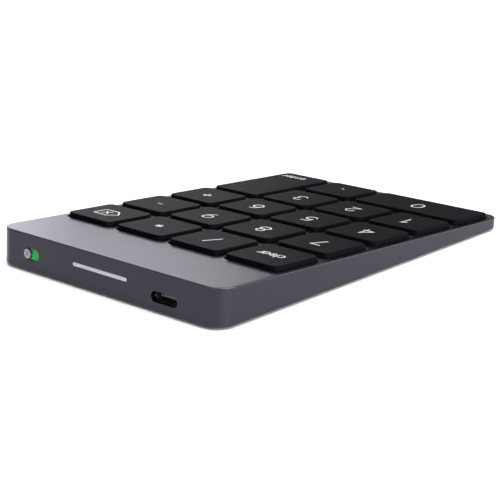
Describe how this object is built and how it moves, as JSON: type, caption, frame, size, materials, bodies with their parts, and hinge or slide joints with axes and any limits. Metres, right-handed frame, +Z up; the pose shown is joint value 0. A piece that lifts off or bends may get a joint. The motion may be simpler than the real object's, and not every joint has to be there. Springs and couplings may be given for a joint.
{
  "type": "numeric keypad",
  "caption": "Slim wedge-shaped wireless numeric keypad with flat scissor keys, rear power switch and USB-C charging port.",
  "frame": {"origin": "centre of the bounding box in plan, at the level the feet stand on", "axes": "+Z up, +Y towards the rear edge with the port and switch, +X towards the right of a user who sits at the front edge"},
  "size_m": [0.0778, 0.1172, 0.0101],
  "materials": {
    "anodised_aluminium": "blasted and anodised space grey",
    "keycap_plastic": "fine matte texture",
    "scissor_plastic": "moulded",
    "dome_rubber": "translucent silicone",
    "membrane_film": "printed polyester film",
    "sheet_steel": "rolled sheet",
    "spring_steel": "drawn wire",
    "screw_steel": "blackened steel",
    "circuit_board": "solder mask",
    "battery_foil": "pouch foil",
    "black_plastic": "moulded",
    "window_plastic": "light grey, satin",
    "light_pipe": "frosted clear plastic",
    "knob_metal": "satin silver",
    "foot_rubber": "soft matte"
  },
  "bodies": {
    "root": {"top_case": "anodised_aluminium", "base_cover": "anodised_aluminium", "support_plate": "sheet_steel", "membrane_sheet": "membrane_film", "dome_sheet": "dome_rubber", "main_pcb": "circuit_board", "bluetooth_module": "sheet_steel", "battery": "battery_foil", "usb_c_shell": "sheet_steel", "usb_c_tongue": "black_plastic", "switch_housing": "black_plastic", "antenna_window": "window_plastic", "status_light_pipe": "light_pipe", "foot_front_left": "foot_rubber", "foot_front_right": "foot_rubber", "foot_rear_left": "foot_rubber", "foot_rear_right": "foot_rubber", "screw_rear_left": "screw_steel", "screw_rear_right": "screw_steel", "screw_middle_left": "screw_steel", "screw_middle_right": "screw_steel", "scissor_clear": "scissor_plastic", "scissor_slash": "scissor_plastic", "scissor_star": "scissor_plastic", "scissor_backspace": "scissor_plastic", "scissor_7": "scissor_plastic", "scissor_8": "scissor_plastic", "scissor_9": "scissor_plastic", "scissor_minus": "scissor_plastic", "scissor_4": "scissor_plastic", "scissor_5": "scissor_plastic", "scissor_6": "scissor_plastic", "scissor_plus": "scissor_plastic", "scissor_1": "scissor_plastic", "scissor_2": "scissor_plastic", "scissor_3": "scissor_plastic", "scissor_enter": "scissor_plastic", "scissor_0": "scissor_plastic", "scissor_point": "scissor_plastic"},
    "key_clear": {"key_clear": "keycap_plastic"},
    "key_slash": {"key_slash": "keycap_plastic"},
    "key_star": {"key_star": "keycap_plastic"},
    "key_backspace": {"key_backspace": "keycap_plastic"},
    "key_7": {"key_7": "keycap_plastic"},
    "key_8": {"key_8": "keycap_plastic"},
    "key_9": {"key_9": "keycap_plastic"},
    "key_minus": {"key_minus": "keycap_plastic"},
    "key_4": {"key_4": "keycap_plastic"},
    "key_5": {"key_5": "keycap_plastic"},
    "key_6": {"key_6": "keycap_plastic"},
    "key_plus": {"key_plus": "keycap_plastic"},
    "key_1": {"key_1": "keycap_plastic"},
    "key_2": {"key_2": "keycap_plastic"},
    "key_3": {"key_3": "keycap_plastic"},
    "key_enter": {"key_enter": "keycap_plastic"},
    "key_0": {"key_0": "keycap_plastic"},
    "key_point": {"key_point": "keycap_plastic"},
    "switch_knob": {"switch_knob": "knob_metal"},
    "stabiliser_0": {"stabiliser_0": "spring_steel"},
    "stabiliser_enter": {"stabiliser_enter": "spring_steel"}
  },
  "joints": [
    {"name": "press_clear", "type": "slide", "parent": "root", "child": "key_clear", "axis": [0, 0.0564, -0.9984], "range_m": [0, 0.0013], "stiffness_N_per_m": 250, "springref_m": -0.0012, "deforming": ["scissor_clear", "dome_sheet"]},
    {"name": "press_slash", "type": "slide", "parent": "root", "child": "key_slash", "axis": [0, 0.0564, -0.9984], "range_m": [0, 0.0013], "stiffness_N_per_m": 250, "springref_m": -0.0012, "deforming": ["scissor_slash", "dome_sheet"]},
    {"name": "press_star", "type": "slide", "parent": "root", "child": "key_star", "axis": [0, 0.0564, -0.9984], "range_m": [0, 0.0013], "stiffness_N_per_m": 250, "springref_m": -0.0012, "deforming": ["scissor_star", "dome_sheet"]},
    {"name": "press_backspace", "type": "slide", "parent": "root", "child": "key_backspace", "axis": [0, 0.0564, -0.9984], "range_m": [0, 0.0013], "stiffness_N_per_m": 250, "springref_m": -0.0012, "deforming": ["scissor_backspace", "dome_sheet"]},
    {"name": "press_7", "type": "slide", "parent": "root", "child": "key_7", "axis": [0, 0.0564, -0.9984], "range_m": [0, 0.0013], "stiffness_N_per_m": 250, "springref_m": -0.0012, "deforming": ["scissor_7", "dome_sheet"]},
    {"name": "press_8", "type": "slide", "parent": "root", "child": "key_8", "axis": [0, 0.0564, -0.9984], "range_m": [0, 0.0013], "stiffness_N_per_m": 250, "springref_m": -0.0012, "deforming": ["scissor_8", "dome_sheet"]},
    {"name": "press_9", "type": "slide", "parent": "root", "child": "key_9", "axis": [0, 0.0564, -0.9984], "range_m": [0, 0.0013], "stiffness_N_per_m": 250, "springref_m": -0.0012, "deforming": ["scissor_9", "dome_sheet"]},
    {"name": "press_minus", "type": "slide", "parent": "root", "child": "key_minus", "axis": [0, 0.0564, -0.9984], "range_m": [0, 0.0013], "stiffness_N_per_m": 250, "springref_m": -0.0012, "deforming": ["scissor_minus", "dome_sheet"]},
    {"name": "press_4", "type": "slide", "parent": "root", "child": "key_4", "axis": [0, 0.0564, -0.9984], "range_m": [0, 0.0013], "stiffness_N_per_m": 250, "springref_m": -0.0012, "deforming": ["scissor_4", "dome_sheet"]},
    {"name": "press_5", "type": "slide", "parent": "root", "child": "key_5", "axis": [0, 0.0564, -0.9984], "range_m": [0, 0.0013], "stiffness_N_per_m": 250, "springref_m": -0.0012, "deforming": ["scissor_5", "dome_sheet"]},
    {"name": "press_6", "type": "slide", "parent": "root", "child": "key_6", "axis": [0, 0.0564, -0.9984], "range_m": [0, 0.0013], "stiffness_N_per_m": 250, "springref_m": -0.0012, "deforming": ["scissor_6", "dome_sheet"]},
    {"name": "press_plus", "type": "slide", "parent": "root", "child": "key_plus", "axis": [0, 0.0564, -0.9984], "range_m": [0, 0.0013], "stiffness_N_per_m": 250, "springref_m": -0.0012, "deforming": ["scissor_plus", "dome_sheet"]},
    {"name": "press_1", "type": "slide", "parent": "root", "child": "key_1", "axis": [0, 0.0564, -0.9984], "range_m": [0, 0.0013], "stiffness_N_per_m": 250, "springref_m": -0.0012, "deforming": ["scissor_1", "dome_sheet"]},
    {"name": "press_2", "type": "slide", "parent": "root", "child": "key_2", "axis": [0, 0.0564, -0.9984], "range_m": [0, 0.0013], "stiffness_N_per_m": 250, "springref_m": -0.0012, "deforming": ["scissor_2", "dome_sheet"]},
    {"name": "press_3", "type": "slide", "parent": "root", "child": "key_3", "axis": [0, 0.0564, -0.9984], "range_m": [0, 0.0013], "stiffness_N_per_m": 250, "springref_m": -0.0012, "deforming": ["scissor_3", "dome_sheet"]},
    {"name": "press_enter", "type": "slide", "parent": "root", "child": "key_enter", "axis": [0, 0.0564, -0.9984], "range_m": [0, 0.0013], "stiffness_N_per_m": 250, "springref_m": -0.0012, "deforming": ["scissor_enter", "dome_sheet"]},
    {"name": "press_0", "type": "slide", "parent": "root", "child": "key_0", "axis": [0, 0.0564, -0.9984], "range_m": [0, 0.0013], "stiffness_N_per_m": 250, "springref_m": -0.0012, "deforming": ["scissor_0", "dome_sheet"]},
    {"name": "press_point", "type": "slide", "parent": "root", "child": "key_point", "axis": [0, 0.0564, -0.9984], "range_m": [0, 0.0013], "stiffness_N_per_m": 250, "springref_m": -0.0012, "deforming": ["scissor_point", "dome_sheet"]},
    {"name": "power_switch", "type": "slide", "parent": "root", "child": "switch_knob", "axis": [-1, 0, 0], "range_m": [0, 0.0029]},
    {"name": "stabiliser_0_swing", "type": "hinge", "parent": "root", "child": "stabiliser_0", "pos_m": [-0.019, -0.04542, 0.00294], "axis": [1, 0, 0], "range_deg": [-14, 0]},
    {"name": "stabiliser_enter_swing", "type": "hinge", "parent": "root", "child": "stabiliser_enter", "pos_m": [0.0298, -0.03723, 0.0034], "axis": [0, 0.9984, 0.0564], "range_deg": [0, 14]}
  ],
  "couplings": [
    {"joint": "stabiliser_0_swing", "follows": "press_0", "rad_per_m": -183.64},
    {"joint": "stabiliser_enter_swing", "follows": "press_enter", "rad_per_m": 183.64}
  ]
}
